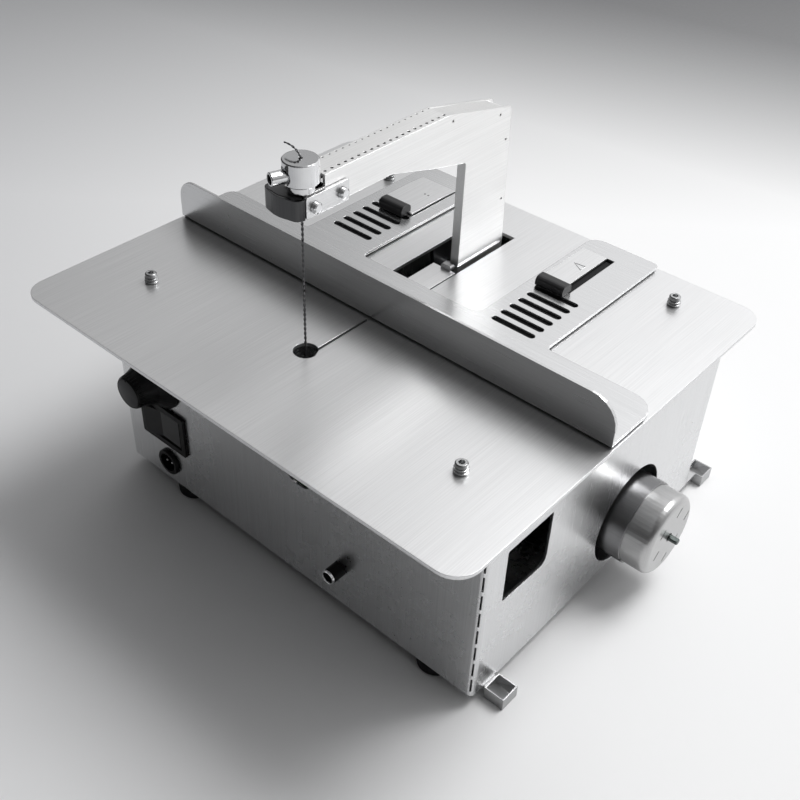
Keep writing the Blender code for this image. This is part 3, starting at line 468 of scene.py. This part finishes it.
@dataclass
class Palette:
    """All finishes, made once."""

    made: dict[str, bpy.types.Material] = field(default_factory=dict)

    FINISHES: ClassVar[tuple[Finish, ...]] = (
        Brushed("table_steel", (0.76, 0.763, 0.768), 0.32, metallic=0.85, grain=Axis.Y, grain_bump=0.03,
                smudge=0.03),
        Brushed("housing_steel", (0.72, 0.724, 0.73), 0.27, grain=Axis.Z, grain_bump=0.02, smudge=0.03),
        Brushed("fence_steel", (0.70, 0.704, 0.71), 0.26, grain=Axis.X, grain_bump=0.03, smudge=0.03),
        Brushed("leaf_steel", (0.76, 0.763, 0.768), 0.30, metallic=0.9, grain=Axis.Y, grain_bump=0.03,
                smudge=0.03),
        Brushed("white_sheet", (0.93, 0.93, 0.925), 0.36, metallic=0.85, grain=Axis.Y, grain_bump=0.015,
                smudge=0.04),
        Polished("chrome", (0.74, 0.745, 0.755), 0.12),
        Polished("clamp_chrome", (0.80, 0.805, 0.815), 0.16, turned=Axis.Y),
        # Near-black head metal: painted dark reflection, its colour standing in for the dark room the block
        # mirrors.
        Brushed("head_metal_painted_dark_reflection", (0.085, 0.086, 0.088), 0.20, grain=Axis.Z, grain_bump=0.22, grain_across=700.0,
                grain_along=12.0),
        Polished("screw_steel", (0.50, 0.505, 0.51), 0.22),
        Polished("machined_steel", (0.56, 0.565, 0.575), 0.28, turned=Axis.X),
        Polished("shaft_steel", (0.11, 0.125, 0.12), 0.30, turned=Axis.X),
        Polished("blade_steel", (0.17, 0.17, 0.175), 0.33, edge=0.0),
        Polished("bright_ring", (0.82, 0.82, 0.83), 0.18, turned=Axis.Y),
        Brushed("motor_zinc", (0.52, 0.52, 0.52), 0.30, metallic=0.9, grain=Axis.X, grain_bump=0.02,
                smudge=0.08),
        Brushed("flux_steel", (0.27, 0.27, 0.275), 0.30, grain=Axis.X, grain_bump=0.03, smudge=0.08),
        Brushed("dark_steel", (0.075, 0.076, 0.08), 0.38, metallic=0.8, grain=Axis.Z, grain_bump=0.05),
        # Dark finish for the painted shade inside the bent head.
        Brushed("painted_hollow_shade", (0.07, 0.071, 0.074), 0.42, metallic=0.5, grain=Axis.X, grain_bump=0.08),
        Brushed("cup_steel", (0.44, 0.442, 0.446), 0.36, metallic=0.9, grain=Axis.Z, grain_bump=0.05),
        Moulded("black_plastic", (0.006, 0.006, 0.0065), 0.32, 0.0, specular=0.16),
        Moulded("gloss_plastic", (0.010, 0.010, 0.011), 0.08, 0.0, specular=0.5, pebble_bump=0.02),
        Moulded("knob_cap", (0.035, 0.036, 0.038), 0.42, 0.0, specular=0.2, pebble_bump=0.05),
        Moulded("grip_rubber", (0.014, 0.014, 0.015), 0.30, 0.0, specular=0.5, pebble_bump=0.06),
        Moulded("foot_rubber", (0.012, 0.012, 0.013), 0.70, 0.0, specular=0.2, pebble_bump=0.3),
        Board("board", (0.012, 0.07, 0.03), 0.42, 0.0),
        # Pale floor colour; its gradients are painted shade.
        FloorWithPaintedShade("floor_with_painted_shade", (0.88, 0.882, 0.885), 0.75, 0.0),
    )

    def get(self, name: str) -> bpy.types.Material:
        """Material of a named finish.

        Args:
            name: The finish's name.

        Returns:
            The material, built on first use.
        """
        if name not in self.made:
            finish = next(item for item in self.FINISHES if item.name == name)
            self.made[name] = finish.build()
        return self.made[name]


PALETTE = Palette()


# ------------------------------------------------------------------ making pieces


def box_of(node: str) -> tuple[Vector, Vector, Vector]:
    """Lower corner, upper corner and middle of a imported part's box."""
    low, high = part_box(node)
    return low, high, (low + high) / 2


def in_mm(*points: Sequence[float]) -> list[tuple[float, ...]]:
    """Points given in millimetres, in metres."""
    return [tuple(value * MM for value in point) for point in points]


def add_piece(name: str, bm: bmesh.types.BMesh, finish: str, body: Body,
              smooth: float = 35.0) -> bpy.types.Object:
    """Make a new piece from a mesh and let it ride on a body.

    Args:
        name: The piece's name.
        bm: Its mesh, which is used up.
        finish: The finish's name.
        body: The body it rides on.
        smooth: Largest angle still shaded smooth, in degrees.

    Returns:
        The piece.
    """
    bmesh.ops.recalc_face_normals(bm, faces=bm.faces)
    mesh = bpy.data.meshes.new(name)
    bm.to_mesh(mesh)
    bm.free()
    mesh.shade_smooth()
    mesh.set_sharp_from_angle(angle=math.radians(smooth))
    mesh.materials.append(PALETTE.get(finish))
    made = bpy.data.objects.new(name, mesh)
    bpy.context.scene.collection.objects.link(made)
    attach(made, body.value)
    LOG.info("made %s on %s", name, body.value)
    return made


def across(axis: Axis, angle: float, radius: float) -> Vector:
    """Point at an angle and radius in the plane across an axis."""
    return axis.point(0.0, radius * math.cos(angle), radius * math.sin(angle))


def skin(bm: bmesh.types.BMesh, rings: Sequence[Sequence[bmesh.types.BMVert]]) -> bmesh.types.BMesh:
    """Close a row of equal rings into one body.

    Args:
        bm: The mesh that holds the rings.
        rings: The rings, from one end to the other.

    Returns:
        The same mesh.
    """
    count = len(rings[0])
    for first, second in zip(rings, rings[1:]):
        for k in range(count):
            bm.faces.new((first[k], first[(k + 1) % count], second[(k + 1) % count], second[k]))
    bm.faces.new(rings[0])
    bm.faces.new(rings[-1])
    return bm


def lathe(centre: Vector, axis: Axis, profile: Sequence[tuple[float, float]], count: int,
          arc: tuple[float, float] = (0.0, 360.0), closed: bool = False) -> bmesh.types.BMesh:
    """Turn a profile round an axis.

    Args:
        centre: A point on the axis.
        axis: Direction of the axis.
        profile: Points as position along the axis from the centre, and radius, in metres.
        count: Steps round the arc.
        arc: First and last angle, in degrees.
        closed: Whether the profile closes on itself.

    Returns:
        The mesh.
    """
    bm = bmesh.new()
    full = arc[1] - arc[0] >= 360.0
    steps = count if full else count + 1
    along = axis.point(1.0, 0.0, 0.0)
    rows = []
    for k in range(steps):
        angle = math.radians(arc[0] + (arc[1] - arc[0]) * k / count)
        rows.append([bm.verts.new(centre + along * level + across(axis, angle, radius))
                     for level, radius in profile])
    spans = len(profile) if closed else len(profile) - 1
    for k in range(count):
        first, second = rows[k], rows[(k + 1) % steps]
        for i in range(spans):
            j = (i + 1) % len(profile)
            bm.faces.new((first[i], first[j], second[j], second[i]))
    if not full and closed:
        bm.faces.new(rows[0])
        bm.faces.new(rows[-1])
    bmesh.ops.remove_doubles(bm, verts=bm.verts, dist=WELD)
    return bm


def sweep(bm: bmesh.types.BMesh, path: Sequence[Vector], radius: Callable[[float], float],
          sides: int) -> bmesh.types.BMesh:
    """Add a round bar along a path.

    Args:
        bm: The mesh to add to.
        path: Points of the path.
        radius: Radius as a function of the share of the path done.
        sides: Sides round the bar.

    Returns:
        The same mesh.
    """
    rings = []
    normal = SLANT.normalized()
    last = len(path) - 1
    for i, point in enumerate(path):
        along = (path[min(i + 1, last)] - path[max(i - 1, 0)]).normalized()
        normal = (normal - along * normal.dot(along)).normalized()
        other = along.cross(normal)
        size = radius(i / last)
        rings.append([bm.verts.new(point + (normal * math.cos(a) + other * math.sin(a)) * size)
                      for a in (FULL_TURN * k / sides for k in range(sides))])
    return skin(bm, rings)


def slab(outline: Sequence[tuple[float, float]], axis: Axis, low: float, high: float,
         chamfer: float = 0.0) -> bmesh.types.BMesh:
    """Flat piece with a chamfered upper rim.

    Args:
        outline: Points in the plane across the axis.
        axis: Direction of its thickness.
        low: Lower level.
        high: Upper level.
        chamfer: Width of the rim's chamfer.

    Returns:
        The mesh.
    """
    middle = Vector((sum(u for u, _ in outline) / len(outline), sum(v for _, v in outline) / len(outline)))
    bm = bmesh.new()
    rings = []
    for level, inset in ((low, 0.0), (high - chamfer, 0.0), (high, chamfer)):
        ring = []
        for u, v in outline:
            flat = Vector((u, v))
            flat += (middle - flat).normalized() * inset
            ring.append(bm.verts.new(axis.point(level, flat.x, flat.y)))
        rings.append(ring)
    return skin(bm, rings)


def oblong(left: float, right: float, front: float, back: float) -> list[tuple[float, float]]:
    """Corners of an upright oblong, in order."""
    return [(left, front), (right, front), (right, back), (left, back)]


# ------------------------------------------------------------------ sub-assemblies


class SubAssembly:
    """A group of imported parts, and the small fittings made for it."""

    COATS: ClassVar[dict[str, tuple[str, ...]]] = {}

    def dress(self) -> None:
        """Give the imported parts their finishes."""
        for finish, nodes in self.COATS.items():
            for node in nodes:
                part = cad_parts[node]
                part.data.materials.clear()
                part.data.materials.append(PALETTE.get(finish))
                LOG.info("dressed %s in %s", node, finish)

    def build(self) -> None:
        """Make the fittings; a plain group has none."""


@dataclass
class Housing(SubAssembly):
    """Folded housing, table and feet."""

    COATS = {
        "housing_steel": ("housing_wrap", "rear_panel", "base_plate", "rail_left", "rail_right"),
        "table_steel": ("table_top",),
        "foot_rubber": ("foot_1", "foot_2", "foot_3", "foot_4"),
        "screw_steel": ("table_screw_1", "table_screw_2", "table_screw_3", "table_screw_4"),
        "cup_steel": ("outrigger_front", "outrigger_rear"),
    }


@dataclass
class Arm(SubAssembly):
    """Rocking arm with its head and blade."""

    COATS = {
        "white_sheet": ("arm_shell", "arm_back_strip"),
        "chrome": ("head_screw_1", "head_screw_2", "upper_chuck", "lower_chuck"),
        # The head block's near-black colour is painted dark reflection.
        "head_metal_painted_dark_reflection": ("head_block",),
        "leaf_steel": ("head_plate",),
        "clamp_chrome": ("upper_clamp_screw",),
        "dark_steel": ("lower_block", "lower_clamp_screw", "drive_pin"),
        "machined_steel": ("arm_hub",),
    }

    strand_radius: float = 0.36 * MM
    strand_offset: float = 0.34 * MM
    twist_pitch: float = 5.6 * MM
    blade_step: float = 0.45 * MM
    blade_inset: float = 0.6 * MM
    tail_radius: float = 8.0 * MM
    tail_steps: int = 22
    tail_rise: float = 0.52
    column_depth: float = 34.5 * MM
    bead_radius: float = 0.85 * MM
    dot_rows: int = 20
    dot_pitch: float = 4.4 * MM
    dot_depth: float = 0.6 * MM
    socket_radius: float = 2.35 * MM
    socket_depth: float = 1.3 * MM
    socket_reach: float = 5.6 * MM

    def blade_line(self) -> list[Vector]:
        """Centre line of the blade, straight up from the lower chuck and bent over above the upper one."""
        low, high, middle = box_of("blade")
        x = high.x - self.blade_inset
        top = max(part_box("upper_chuck")[1].z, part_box("lower_chuck")[1].z)
        line = []
        z = low.z
        while z < top:
            line.append(Vector((x, middle.y, z)))
            z += self.blade_step
        for k in range(self.tail_steps):
            angle = math.radians(5 * k)
            line.append(Vector((x - self.tail_radius * (1 - math.cos(angle)), middle.y,
                                top + self.tail_rise * self.tail_radius * math.sin(angle))))
        return line

    def strand_path(self, line: Sequence[Vector], phase: float) -> list[Vector]:
        """Path of one strand round the blade's centre line.

        Args:
            line: The centre line.
            phase: Angle at which the strand starts.

        Returns:
            The strand's points.
        """
        path, travelled = [], 0.0
        last = len(line) - 1
        side = Vector((0.0, 1.0, 0.0))
        for i, point in enumerate(line):
            along = (line[min(i + 1, last)] - line[max(i - 1, 0)]).normalized()
            travelled += (point - line[i - 1]).length if i else 0.0
            other = along.cross(side).normalized()
            angle = phase + FULL_TURN * travelled / self.twist_pitch
            offset = self.strand_offset * min(1.0, (last - i) / 20 + 0.3)
            path.append(point + (side * math.cos(angle) + other * math.sin(angle)) * offset)
        return path

    def build_blade(self) -> None:
        """Two hard wires twisted into one sawing wire."""
        line = self.blade_line()
        bm = bmesh.new()
        for phase in (0.0, math.pi):
            sweep(bm, self.strand_path(line, phase),
                  lambda share: self.strand_radius * (1.0 - 0.25 * max(0.0, share - 0.9) / 0.1), 6)
        made = add_piece("twisted_blade", bm, "blade_steel", Body.ARM, 60.0)
        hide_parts("blade")

    def column_front(self) -> float:
        """Place of the column's front face along Y."""
        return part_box("arm_back_strip")[0].y - self.column_depth

    def build_bead(self) -> None:
        """Rolled bead on the column's right side, just above the table."""
        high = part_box("arm_shell")[1]
        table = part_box("table_top")[1].z
        back = high.y - 2.4 * MM
        start = self.column_front()
        steps = 20
        path = [Vector((high.x + 0.25 * MM, start + (back - start) * k / steps, table + 0.9 * MM))
                for k in range(steps + 1)]
        bm = sweep(bmesh.new(), path,
                   lambda share: self.bead_radius * min(1.0, 12 * min(share, 1 - share) + 0.35), 10)
        add_piece("column_bead", bm, "clamp_chrome", Body.ARM)

    def build_roof_shade(self) -> None:
        """Painted shade: a dark sheet under the arm's roof and dark plugs in the roof's dots, standing in for
        the shade inside the hollow arm.
        """
        low, high, _ = box_of("arm_shell")
        roof = high.z - 1.5 * MM
        # Dark sheet under the roof: painted shade inside the hollow arm.
        strip = oblong(low.x + 1.7 * MM, high.x - 1.7 * MM, low.y + 14 * MM, low.y + 99 * MM)
        add_piece("arm_roof_painted_shade", slab(strip, Axis.Z, roof - 0.7 * MM, roof - 0.15 * MM), "foot_rubber",
                  Body.ARM)
        # Dark plugs in the roof's dots: painted shade in the holes.
        bm = bmesh.new()
        sides = 10
        for number in range(self.dot_rows):
            for x, size in ((low.x + 1.2 * MM, 0.5 * MM), (high.x - 2.6 * MM, 0.8 * MM)):
                spot = Vector((x, low.y + 21 * MM + self.dot_pitch * number, high.z - 0.3 * MM))
                rim = [bm.verts.new(spot + across(Axis.Z, FULL_TURN * k / sides, size)) for k in range(sides)]
                floor = bmesh.ops.extrude_face_region(bm, geom=[bm.faces.new(rim)])["geom"]
                lowered = [item for item in floor if isinstance(item, bmesh.types.BMVert)]
                bmesh.ops.translate(bm, vec=(0.0, 0.0, -self.dot_depth), verts=lowered)
        add_piece("arm_dot_shades", bm, "foot_rubber", Body.ARM)

    def build_clip(self) -> None:
        """Clip on the table's slot edge, in front of the column and clear of its rock."""
        low, high, _ = box_of("arm_shell")
        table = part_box("table_top")[1].z
        start = self.column_front()
        clip = oblong(low.x + 7.0 * MM, high.x - 0.3 * MM, start - 5.4 * MM, start - 1.5 * MM)
        add_piece("foot_clip", slab(clip, Axis.Z, table + 0.1 * MM, table + 2.9 * MM, 0.8 * MM), "cup_steel",
                  Body.HOUSING)

    def build_clamp_socket(self) -> None:
        """Painted shade: a black plug at the clamp screw's hollow end, standing in for the shade at its
        bottom.
        """
        _, drum_high, axis = box_of("upper_chuck")
        clamp = box_of("upper_clamp_screw")[2]
        reach = clamp - axis
        reach.z = 0.0
        reach.normalize()
        end = axis + reach * (drum_high.x - axis.x + self.socket_reach)
        end.z = clamp.z
        profile = [(0.0, 0.0), (0.0, self.socket_radius), (-self.socket_depth, self.socket_radius),
                   (-self.socket_depth, 0.0)]
        bm = lathe(ORIGIN, Axis.Y, profile, 24)
        turn = Vector((0.0, 1.0, 0.0)).rotation_difference(reach)
        bmesh.ops.rotate(bm, verts=bm.verts, cent=ORIGIN, matrix=turn.to_matrix())
        bmesh.ops.translate(bm, vec=end, verts=bm.verts)
        # Black plug: painted shade in the screw's hollow.
        add_piece("clamp_socket_painted_shade", bm, "foot_rubber", Body.ARM)

    def build_hollow_shade(self) -> None:
        """Painted shade: a dark sheet on the head block's upper face, a margin inside its rounded outline,
        standing in for the shade inside the head's bent sheet.
        """
        low, high, _ = box_of("head_block")
        margin = 1.1
        left = in_mm((margin, 4.2), (3.4, 2.0), (11.0, margin))
        right = in_mm((3.4, 3.0), (1.8, 5.2), (1.9, 6.3), (3.6, 7.8))
        back = high.y - 8 * MM
        shape = [(low.x + margin * MM, back)]
        shape += [(low.x + x, low.y + y) for x, y in left]
        shape += [(high.x - x, low.y + y) for x, y in right]
        shape += [(high.x - 3.6 * MM, back)]
        # Dark sheet: painted shade inside the bent head.
        add_piece("head_hollow_painted_shade", slab(shape, Axis.Z, high.z - 0.1 * MM, high.z + 0.18 * MM, 0.1 * MM),
                  "painted_hollow_shade", Body.ARM)

    def build(self) -> None:
        """Make the blade, the trim and the pieces of painted shade."""
        self.build_blade()
        self.build_bead()
        self.build_roof_shade()
        self.build_clip()
        self.build_clamp_socket()
        self.build_hollow_shade()


@dataclass
class Fence(SubAssembly):
    """Sliding fence with its sprung leaves."""

    COATS = {
        "fence_steel": ("fence",),
        # Black liner under the fence's tongues: its black, seen through the slots and along the tongues'
        # edges, is painted shade.
        "foot_rubber": ("fence_liner",),
        "leaf_steel": ("leaf_left", "leaf_right"),
        "grip_rubber": ("grip_left", "grip_right"),
    }

    wire_radius: float = 0.22 * MM
    dimple_gap: float = 2.6 * MM

    def build(self) -> None:
        """Raised outline on the right leaf and two dimples on the left one, the dimples in dark steel as
        painted shade.
        """
        _, high, middle = box_of("leaf_right")
        tip = Vector((middle.x + 1.6 * MM, high.y - 18.0 * MM, high.z))
        corners = [tip + Vector((x, y, 0.0)) for x, y in in_mm((-4.2, 0.8), (2.9, 1.6), (2.6, -3.2))]
        bm = bmesh.new()
        steps = 6
        for first, second in zip(corners, corners[1:] + corners[:1]):
            path = [first.lerp(second, k / steps) for k in range(steps + 1)]
            sweep(bm, path, lambda share: self.wire_radius, 6)
        add_piece("leaf_arrow", bm, "leaf_steel", Body.LEAF_RIGHT)
        low, high, middle = box_of("leaf_left")
        dome = in_mm((-0.1, 0.7), (0.1, 0.6), (0.25, 0.3), (0.3, 0.0))
        for number in (1, 2):
            x = middle.x + 3.1 * MM + self.dimple_gap * (number - 1)
            spot = Vector((x, low.y + 24 * MM, high.z))
            # Dark steel on the dimples: painted shade.
            add_piece(f"leaf_dimple_painted_shade_{number}", lathe(spot, Axis.Z, dome, 14), "blade_steel", Body.LEAF_LEFT)


@dataclass
class Drive(SubAssembly):
    """Motor, shaft, crank and rod."""

    COATS = {
        "motor_zinc": ("motor_can", "motor_face"),
        "machined_steel": ("drive_shaft", "crank_disc", "connecting_rod", "pivot_shaft"),
        "dark_steel": ("bearing_block", "motor_mount", "shaft_coupling", "pivot_bracket_left",
                       "pivot_bracket_right", "crank_pin"),
        "shaft_steel": ("motor_rotor",),
    }

    seam_at: float = 212.0
    seam_degrees: float = 7.0
    band_inside: float = 28.0 * MM
    band_outside: float = 11.5 * MM
    band_gap: float = 0.05 * MM
    band_height: float = 0.9 * MM

    def build(self) -> None:
        """Split steel band round the motor's drum, with its seam low at the front."""
        low, high, middle = box_of("motor_can")
        radius = (high.z - low.z) / 2
        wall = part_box("housing_wrap")[1].x
        start, end = wall - self.band_inside, wall + self.band_outside
        inner, outer = radius + self.band_gap, radius + self.band_height
        profile = [(start, inner), (start, outer - 0.2 * MM), (start + 0.2 * MM, outer),
                   (end - 0.25 * MM, outer), (end, outer - 0.25 * MM), (end, inner)]
        arc = (self.seam_at + self.seam_degrees / 2, self.seam_at + 360 - self.seam_degrees / 2)
        bm = lathe(Vector((0.0, middle.y, middle.z)), Axis.X, profile, 72, arc, closed=True)
        add_piece("flux_band", bm, "flux_steel", Body.HOUSING)


@dataclass
class Controls(SubAssembly):
    """Knob, switch, socket and fuse holder on the front wall, and the speed board behind them."""

    COATS = {
        "black_plastic": ("speed_knob", "switch_body", "power_inlet", "fuse_holder"),
        "gloss_plastic": ("switch_rocker",),
        "machined_steel": ("speed_pot",),
        "board": ("speed_board",),
    }

    ribs: int = 30
    rib_radius: float = 0.42 * MM
    pin_spread: float = 2.2 * MM
    pin_depth: float = 1.3 * MM

    def build_knob(self) -> None:
        """Matt cap on the knob's end and the ribs round its waist."""
        low, _, middle = box_of("speed_knob")
        centre = Vector((middle.x, low.y, middle.z))
        cap = in_mm((0.5, 0.0), (-0.25, 0.0), (-0.25, 7.6), (0.05, 8.3), (0.5, 8.3))
        add_piece("knob_cap", lathe(centre, Axis.Y, cap, 48), "knob_cap", Body.KNOB)
        bm = bmesh.new()
        waist = in_mm((1.4, 9.5), (4.2, 9.85), (8.0, 10.9), (11.5, 12.3))
        for k in range(self.ribs):
            angle = FULL_TURN * k / self.ribs
            path = [centre + Vector((0.0, depth, 0.0)) + across(Axis.Y, angle, radius)
                    for depth, radius in waist]
            sweep(bm, path, lambda share: self.rib_radius * (1.0 - 0.5 * share), 6)
        add_piece("knob_ribs", bm, "black_plastic", Body.KNOB)

    def build_contacts(self) -> None:
        """Bright socket pins and the fuse holder's ring."""
        low, _, middle = box_of("power_inlet")
        pin = in_mm((9.8, 0.8), (0.4, 0.8), (0.0, 0.5), (-0.1, 0.0))
        for side, word in ((-1, "left"), (1, "right")):
            spot = Vector((middle.x + side * self.pin_spread, low.y + self.pin_depth, middle.z))
            add_piece(f"socket_pin_{word}", lathe(spot, Axis.Y, pin, 16), "bright_ring", Body.HOUSING)
        low, _, middle = box_of("fuse_holder")
        ring = in_mm((0.3, 3.2), (-0.2, 3.35), (-0.35, 3.7), (-0.1, 4.2), (0.8, 4.42), (0.8, 3.2))
        bm = lathe(Vector((middle.x, low.y, middle.z)), Axis.Y, ring, 32, closed=True)
        add_piece("fuse_ring", bm, "bright_ring", Body.HOUSING)

    def build(self) -> None:
        """Make the knob's fittings and the bright contacts."""
        self.build_knob()
        self.build_contacts()


# ------------------------------------------------------------------ studio


@dataclass(frozen=True)
class Lamp:
    """Square soft lamp: its name, where it stands, the side of its square and its watts."""

    name: str
    at: tuple[float, float, float]
    size: float
    power: float


@dataclass
class Studio:
    """Floor, lights, world and camera."""

    AIM: ClassVar[tuple[float, float, float]] = (0.0, 0.0, 0.08)
    LAMPS: ClassVar[tuple[Lamp, ...]] = (Lamp("key_lamp", (0.45, 1.10, 2.05), 1.1, 36.0),)
    ROOM_FACING: ClassVar[tuple[float, float, float]] = (0.21, 0.79, 0.57)
    ROOM_SHADES: ClassVar[tuple[tuple[float, float], ...]] = (
        (0.0, 0.03), (0.50, 0.06), (0.65, 0.20), (0.76, 0.50), (0.82, 0.44), (0.855, 0.74), (0.885, 1.0),
        (1.0, 1.05))
    BACKDROP: ClassVar[tuple[float, ...]] = (0.52, 0.524, 0.535, 1.0)
    CAMERA_TURN: ClassVar[tuple[tuple[float, ...], ...]] = (
        (0.74892, -0.43828, 0.49703), (0.66183, 0.45706, -0.59421), (0.03326, 0.77396, 0.63236))

    lens: float = 48.489
    sensor: float = 36.0
    camera_at: tuple[float, float, float] = (0.30076, -0.37089, 0.45912)
    floor_half: float = 6.0
    floor_gap: float = 0.2 * MM

    def build_floor(self) -> None:
        """Wide pale floor under the feet, coloured with painted shade."""
        bm = bmesh.new()
        bmesh.ops.create_grid(bm, x_segments=8, y_segments=8, size=self.floor_half)
        mesh = bpy.data.meshes.new("studio_floor")
        bm.to_mesh(mesh)
        bm.free()
        mesh.materials.append(PALETTE.get("floor_with_painted_shade"))
        floor = bpy.data.objects.new("studio_floor", mesh)
        bpy.context.scene.collection.objects.link(floor)
        floor.location.z = CAD_BOUNDS[0][2] - self.floor_gap

    def build_lamp(self, lamp: Lamp) -> None:
        """Place one lamp, aimed at the saw.

        Args:
            lamp: The lamp.
        """
        light = bpy.data.lights.new(lamp.name, "AREA")
        light.size = lamp.size
        light.energy = lamp.power
        made = bpy.data.objects.new(lamp.name, light)
        made.location = lamp.at
        made.rotation_euler = (Vector(lamp.at) - Vector(self.AIM)).to_track_quat("Z", "Y").to_euler()
        bpy.context.scene.collection.objects.link(made)

    def build_world(self) -> None:
        """Room that is bright behind and to the right, and dark in front and to the left."""
        world = bpy.data.worlds.new("studio_room")
        bpy.context.scene.world = world
        world.use_nodes = True
        tree = world.node_tree
        background = tree.nodes["Background"]
        coords = tree.nodes.new("ShaderNodeTexCoord")
        toward = tree.nodes.new("ShaderNodeVectorMath")
        toward.operation = "DOT_PRODUCT"
        toward.inputs[1].default_value = self.ROOM_FACING
        tree.links.new(coords.outputs["Generated"], toward.inputs[0])
        ramp = tree.nodes.new("ShaderNodeValToRGB")
        while len(ramp.color_ramp.elements) < len(self.ROOM_SHADES):
            ramp.color_ramp.elements.new(0.5)
        for element, (place, shade) in zip(ramp.color_ramp.elements, self.ROOM_SHADES):
            element.position = place
            element.color = (shade, shade, shade * 1.005, 1.0)
        shift = tree.nodes.new("ShaderNodeMapRange")
        shift.inputs["From Min"].default_value = -1.0
        tree.links.new(toward.outputs["Value"], shift.inputs["Value"])
        tree.links.new(shift.outputs["Result"], ramp.inputs["Fac"])
        seen = tree.nodes.new("ShaderNodeLightPath")
        backdrop = tree.nodes.new("ShaderNodeMix")
        backdrop.data_type = "RGBA"
        backdrop.inputs[7].default_value = self.BACKDROP
        tree.links.new(seen.outputs["Is Camera Ray"], backdrop.inputs[0])
        tree.links.new(ramp.outputs["Color"], backdrop.inputs[6])
        tree.links.new(backdrop.outputs[2], background.inputs["Color"])
        background.inputs["Strength"].default_value = 1.0

    def build_camera(self) -> None:
        """Camera above the front-right corner."""
        camera = bpy.data.objects.new("studio_camera", bpy.data.cameras.new("studio_camera"))
        camera.data.lens = self.lens
        camera.data.sensor_width = self.sensor
        camera.matrix_world = Matrix.Translation(self.camera_at) @ Matrix(self.CAMERA_TURN).to_4x4()
        bpy.context.scene.collection.objects.link(camera)
        bpy.context.scene.camera = camera
        bpy.context.scene.view_settings.view_transform = "Standard"

    def build(self) -> None:
        """Set up the whole studio."""
        self.build_floor()
        self.build_world()
        for lamp in self.LAMPS:
            self.build_lamp(lamp)
        self.build_camera()


def main() -> None:
    """Dress every part, add the small fittings and set up the studio."""
    logging.basicConfig(level=logging.INFO, format="%(message)s")
    for group in (Housing(), Arm(), Fence(), Drive(), Controls()):
        group.dress()
        group.build()
    Studio().build()


if __name__ == "__main__":
    main()
